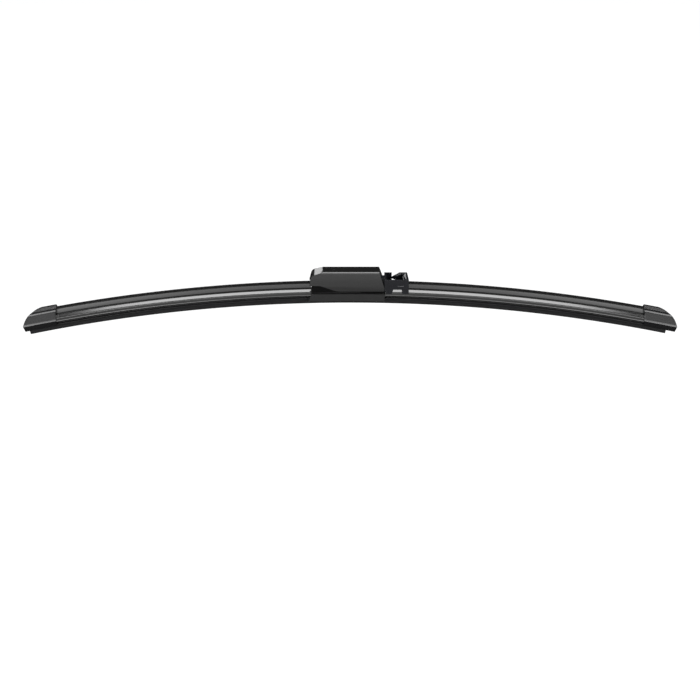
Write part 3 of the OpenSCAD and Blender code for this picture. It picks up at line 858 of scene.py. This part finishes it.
def sharpen_box(place):
    """Brings out and slopes the ledge on the box's front, and raises a corner of a back window."""
    size = bpy.context.scene.wiper_moulded
    ledge_back, ledge_middle = mm(-9.3), mm(1.6)
    if place.y < ledge_back:
        place.y -= size.ledge_out
        if place.z > ledge_middle:
            place.z -= size.ledge_slope
    in_back_wall = place.y > mm(7)
    at_corner = mm(37.7) < place.x < mm(37.9) and mm(0.5) < place.z < mm(1.5)
    if in_back_wall and at_corner:
        place.z += size.window_rise


class WIPER_OT_arm_adapter(bpy.types.Operator):
    """Round and finish the adapter with the box for the arm's head"""

    bl_idname = "wiper.arm_adapter"
    bl_label = "Arm adapter"

    def execute(self, context):
        rounding = context.scene.wiper_moulded.box_rounding
        piece = moulded_copy("arm_adapter", "adapter_box", rounding, "adapter_plastic",
                             reshape=sharpen_box)
        stand_for(piece, "arm_adapter", ROCKER)
        return {"FINISHED"}


# The least turn that stays sharp on the cover, whose facets meet at slight angles.
COVER_CREASE = math.radians(8.2)


def tilt_cover_facet(place):
    """Tilts the slim facets along the cover's top, so that they catch the softbox's edge."""
    at_top = place.z > cad_box[1][2] - mm(0.1)
    at_facet = mm(6.45) < abs(place.y) < mm(6.55)
    if at_top and at_facet:
        place.y -= math.copysign(bpy.context.scene.wiper_moulded.cover_facet_shift, place.y)


def cover_edge_share(edge):
    """Rounds the edges between the cover's outside and its ends fully, and the others less."""
    size = bpy.context.scene.wiper_moulded
    turned_to_end, turned_up, near_end = 0.3, 0.5, mm(24)
    middle = (edge.verts[0].co + edge.verts[1].co) / 2
    normals = [face.normal for face in edge.link_faces]
    on_end = any(normal.x * middle.x > 0 and abs(normal.x) > turned_to_end for normal in normals)
    outside = any(
        abs(normal.x) < turned_to_end and (normal.y * middle.y > 0 or normal.z > turned_up)
        for normal in normals
    )
    if on_end and outside and abs(middle.x) > near_end:
        return 1.0
    return size.cover_edge_rounding / size.cover_rounding


class WIPER_OT_cover(bpy.types.Operator):
    """Round and finish the cover over the adapter"""

    bl_idname = "wiper.cover"
    bl_label = "Cover"

    def execute(self, context):
        rounding = context.scene.wiper_moulded.cover_rounding
        piece = moulded_copy("adapter_cover", "cover_shell", rounding, "cover_plastic",
                             crease_from=COVER_CREASE, reshape=tilt_cover_facet,
                             share=cover_edge_share)
        stand_for(piece, "adapter_cover", ROCKER)
        return {"FINISHED"}


def set_camera(studio, arch):
    """A camera at the photograph's angle, aimed a little under mid-blade."""
    data = bpy.data.cameras.new("camera")
    data.sensor_width = 36.0
    data.lens = data.sensor_width * studio.distance / studio.view_width
    data.dof.use_dof = False
    camera = bpy.data.objects.new("camera", data)
    bpy.context.scene.collection.objects.link(camera)
    up = Vector((0, math.sin(studio.elevation), math.cos(studio.elevation)))
    back = Vector((0, -math.cos(studio.elevation), math.sin(studio.elevation)))
    aim = Vector((studio.aim_right, 0, -arch.pin_height)) - studio.aim_below * up
    camera.location = aim + studio.distance * back
    camera.rotation_euler = (math.pi / 2 - studio.elevation, 0, 0)
    bpy.context.scene.camera = camera


def set_stops(ramp, stops):
    """Gives a ramp its stops, whose places are angles from 0 to 180 degrees."""
    while len(ramp.elements) < len(stops):
        ramp.elements.new(1.0)
    for element, (angle, share) in zip(ramp.elements, stops):
        element.position = angle / 180.0
        element.color = (share, share, share, 1.0)


def round_about(tree, direction, stops):
    """Shares by the angle that a direction makes with straight behind, on either side."""
    parts = add_node(tree, "ShaderNodeSeparateXYZ", links={0: direction})
    azimuth = add_node(tree, "ShaderNodeMath", {"operation": "ARCTAN2"},
                       links={0: parts.outputs["X"], 1: parts.outputs["Y"]})
    aside = add_node(tree, "ShaderNodeMath", {"operation": "ABSOLUTE"},
                     links={0: azimuth.outputs[0]})
    turn = add_node(tree, "ShaderNodeMath", {"operation": "DIVIDE"}, {1: math.pi},
                    {0: aside.outputs[0]})
    ramp = add_node(tree, "ShaderNodeValToRGB", links={"Fac": turn.outputs[0]})
    set_stops(ramp.color_ramp, stops)
    return ramp.outputs["Color"]


def climb(tree, height, elevations, low, high):
    """Goes smoothly from low to high between two elevations in degrees."""
    start, end = (math.sin(math.radians(elevation)) for elevation in elevations)
    return add_node(tree, "ShaderNodeMapRange", {"interpolation_type": "SMOOTHSTEP"}, {
        "From Min": start, "From Max": end, "To Min": low, "To Max": high,
    }, {"Value": height}).outputs[0]


# Shares of the wall's and of the card's strength, by the angle from straight behind in degrees.
# Both are dark between 10 and 38 degrees, which the cover's rounded end and the base's noses mirror.
WALL_STOPS = ((38, 0.0), (46, 0.35), (130, 0.35), (152, 1.0), (167, 1.0), (176, 0.4), (180, 0.4))
CARD_STOPS = ((0, 0.5), (7, 0.5), (10, 0.0), (38, 0.0), (46, 0.7), (130, 0.7), (145, 1.0))
# Elevations in degrees between which the wall turns from its foot's to its head's strength.
WALL_BRIGHTENS = (8, 13)
# Elevations in degrees where the wall has ended and where it begins to end.
WALL_ENDS = (23, 21)
# Distances in metres from the pin between which the card turns from dark to bright.
CARD_BRIGHTENS = (0.25, 1.55)
# The middle and the size, in metres, of the softbox above and of the small panel behind.
SOFTBOX_PLACE = (0.0, 0.15, 1.5)
SOFTBOX_SIZE = (1.57, 0.9)
PANEL_PLACE = (-0.265, 0.906, 0.36)
PANEL_SIZE = (0.24, 0.2)
# Half widths in metres of the floor and of the card over it, and the card's height over the floor.
FLOOR_HALF = 9.0
CARD_HALF = 8.0
CARD_LIFT = mm(2)


def set_world(studio, backdrop):
    """A dim room with a light wall in front and at the sides, brighter at its head."""
    world = bpy.data.worlds.new("studio")
    bpy.context.scene.world = world
    world.use_nodes = True
    tree = world.node_tree
    tree.nodes.clear()
    direction = add_node(tree, "ShaderNodeTexCoord").outputs["Generated"]
    height = add_node(tree, "ShaderNodeSeparateXYZ", links={0: direction}).outputs["Z"]
    wall = round_about(tree, direction, WALL_STOPS)
    for factor in (climb(tree, height, WALL_BRIGHTENS, studio.front_low, studio.front_high),
                   climb(tree, height, WALL_ENDS, 0.0, 1.0)):
        wall = add_node(tree, "ShaderNodeMath", {"operation": "MULTIPLY"},
                        links={0: wall, 1: factor}).outputs[0]
    glow = add_node(tree, "ShaderNodeMath", {"operation": "ADD"}, {1: studio.dusk}, {0: wall})
    studio_light = add_node(tree, "ShaderNodeBackground", links={"Strength": glow.outputs[0]})
    pale = add_node(tree, "ShaderNodeBackground", values={"Color": backdrop})
    seen = add_node(tree, "ShaderNodeLightPath")
    both = add_node(tree, "ShaderNodeMixShader", links={
        0: seen.outputs["Is Camera Ray"], 1: studio_light.outputs[0], 2: pale.outputs[0],
    })
    add_node(tree, "ShaderNodeOutputWorld", links={"Surface": both.outputs[0]})


def level_square(name, half, level):
    """A level square with the pin over its middle."""
    mesh = bpy.data.meshes.new(name)
    mesh.from_pydata([(-half, -half, level), (half, -half, level), (half, half, level),
                      (-half, half, level)], [], [(0, 1, 2, 3)])
    return plain_object(name, mesh)


def dull_material(name, base, glow):
    """A material without gloss that shines in a colour of its own."""
    material, tree, shader = new_material(name, base, roughness=0.9)
    shader.inputs["Specular IOR Level"].default_value = 0.0
    shader.inputs["Emission Color"].default_value = glow
    return material, tree, shader


def set_floor(studio, pale, level):
    """A wide pale floor, well under the blade because the arm holds it up."""
    floor = level_square("floor", FLOOR_HALF, level)
    # It mostly shines by itself and returns only a little light, so that it looks even.
    material, _, shader = dull_material("painted_floor", shade(pale, 0.12), pale)
    shader.inputs["Emission Strength"].default_value = studio.floor_glow
    floor.data.materials.append(material)
    floor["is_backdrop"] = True


def set_card(studio, level):
    """A card over the floor that only the blade sees: dark under it and brighter away from it."""
    card = level_square("graded_card", CARD_HALF, level)
    card.visible_camera = False
    card.visible_shadow = False
    material, tree, shader = dull_material("graded_card", linear(0x101010), (1.0, 1.0, 1.0, 1.0))
    place = object_place(tree)
    away = add_node(tree, "ShaderNodeVectorMath", {"operation": "LENGTH"}, links={0: place})
    near, far = CARD_BRIGHTENS
    share = add_node(tree, "ShaderNodeMapRange", {"interpolation_type": "SMOOTHSTEP"},
                     {"From Min": near, "From Max": far}, {"Value": away.outputs["Value"]})
    lit = add_node(tree, "ShaderNodeMath", {"operation": "MULTIPLY"},
                   links={0: share.outputs[0], 1: round_about(tree, place, CARD_STOPS)})
    glow = add_node(tree, "ShaderNodeMapRange",
                    values={"To Min": studio.near_card, "To Max": studio.far_card},
                    links={"Value": lit.outputs[0]})
    tree.links.new(glow.outputs[0], shader.inputs["Emission Strength"])
    card.data.materials.append(material)
    card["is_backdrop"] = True


def set_softbox(name, place, target, size, power):
    """A soft area light, turned to a target, that the camera doesn't see."""
    data = bpy.data.lights.new(name, "AREA")
    data.shape = "RECTANGLE"
    data.size, data.size_y = size
    data.energy = power
    lamp = bpy.data.objects.new(name, data)
    lamp.location = place
    lamp.rotation_euler = (Vector(target) - Vector(place)).to_track_quat("-Z", "Y").to_euler()
    lamp.visible_camera = False
    bpy.context.scene.collection.objects.link(lamp)


class WIPER_OT_stage(bpy.types.Operator):
    """Set the camera, floor, light wall, softbox and rear panel"""

    bl_idname = "wiper.stage"
    bl_label = "Stage"

    def execute(self, context):
        scene = context.scene
        studio = scene.wiper_studio
        scene.view_settings.view_transform = "Standard"
        pale = tuple(scene.wiper_colours.floor)
        lowest_corner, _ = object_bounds()
        floor_level = lowest_corner[2] - studio.floor_drop
        set_camera(studio, scene.wiper_arch)
        set_world(studio, pale)
        set_floor(studio, pale, floor_level)
        set_card(studio, floor_level + CARD_LIFT)
        pin = (0.0, 0.0, 0.0)
        straight_down = (SOFTBOX_PLACE[0], SOFTBOX_PLACE[1], 0.0)
        set_softbox("softbox_above", SOFTBOX_PLACE, straight_down, SOFTBOX_SIZE, studio.top_power)
        set_softbox("panel_behind", PANEL_PLACE, pin, PANEL_SIZE, studio.panel_power)
        return {"FINISHED"}


OPERATORS = (
    WIPER_OT_rubber, WIPER_OT_strips, WIPER_OT_spoilers, WIPER_OT_end_caps, WIPER_OT_base,
    WIPER_OT_pin, WIPER_OT_arm_adapter, WIPER_OT_cover, WIPER_OT_stage,
)

SETTINGS = {
    "wiper_arch": WiperArch,
    "wiper_rubber": WiperRubberSizes,
    "wiper_spoiler": WiperSpoilerSizes,
    "wiper_moulded": WiperMouldedSizes,
    "wiper_colours": WiperColours,
    "wiper_studio": WiperStudio,
}


class WIPER_PT_panel(bpy.types.Panel):
    """Sizes, colours and making of the wiper blade"""

    bl_label = "Wiper Blade"
    bl_idname = "WIPER_PT_panel"
    bl_space_type = "VIEW_3D"
    bl_region_type = "UI"
    bl_category = "Wiper Blade"

    def draw(self, context):
        for operator in OPERATORS:
            self.layout.operator(operator.bl_idname)
        for name in SETTINGS:
            settings = getattr(context.scene, name)
            box = self.layout.box()
            for key in settings.__annotations__:
                box.prop(settings, key)


CLASSES = tuple(SETTINGS.values()) + OPERATORS + (WIPER_PT_panel,)


def register():
    """Registers the classes and hangs the settings on the scene."""
    for cls in CLASSES:
        bpy.utils.register_class(cls)
    for name, cls in SETTINGS.items():
        setattr(bpy.types.Scene, name, bpy.props.PointerProperty(type=cls))


def unregister():
    """Takes the settings and classes away again."""
    for name in SETTINGS:
        delattr(bpy.types.Scene, name)
    for cls in reversed(CLASSES):
        bpy.utils.unregister_class(cls)


def main():
    """Makes every piece and the stage."""
    register()
    for operator in OPERATORS:
        group, action = operator.bl_idname.split(".")
        getattr(getattr(bpy.ops, group), action)()


if __name__ == "__main__":
    main()
